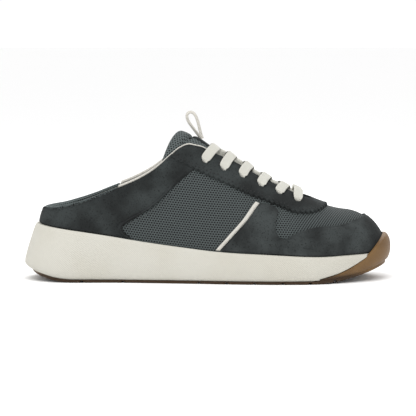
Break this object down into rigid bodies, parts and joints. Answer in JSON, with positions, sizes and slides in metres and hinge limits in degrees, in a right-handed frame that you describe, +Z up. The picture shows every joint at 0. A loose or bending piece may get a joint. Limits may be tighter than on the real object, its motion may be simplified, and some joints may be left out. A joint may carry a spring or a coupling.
{
  "type": "slip-on shoe",
  "caption": "Backless laced trainer for the right foot: mesh and suede upper with a low heel rim, padded tongue with pull loop, flared foam midsole and gum outsole that turns up over the toe.",
  "frame": {"origin": "middle of the footprint, on the floor that the outsole stands on", "axes": "+X to the toe, +Y to the medial side (the shoe's left), +Z up"},
  "size_m": [0.2998, 0.1105, 0.139],
  "materials": {
    "gum": "satin gum rubber",
    "foam": "matt moulded foam",
    "footbed": "matt fabric",
    "mesh": "open knitted mesh",
    "suede": "napped suede",
    "cord": "ribbed cord and ribbon",
    "tongue_mesh": "padded mesh",
    "lace": "flat woven lace"
  },
  "bodies": {
    "root": {"outsole": "gum", "midsole": "foam", "insole": "footbed", "upper": "mesh", "heel_quarter": "suede", "toe_guard": "suede", "eyestay": "suede", "piping_lateral": "cord", "piping_medial": "cord", "collar_roll": "mesh", "binding_lateral": "cord", "binding_medial": "cord", "tongue": "tongue_mesh", "tongue_tab": "suede", "pull_loop": "cord", "lace_cross_1": "lace", "lace_cross_2": "lace", "lace_cross_3": "lace", "lace_cross_4": "lace", "lace_cross_5": "lace", "lace_bar": "lace"}
  },
  "joints": []
}
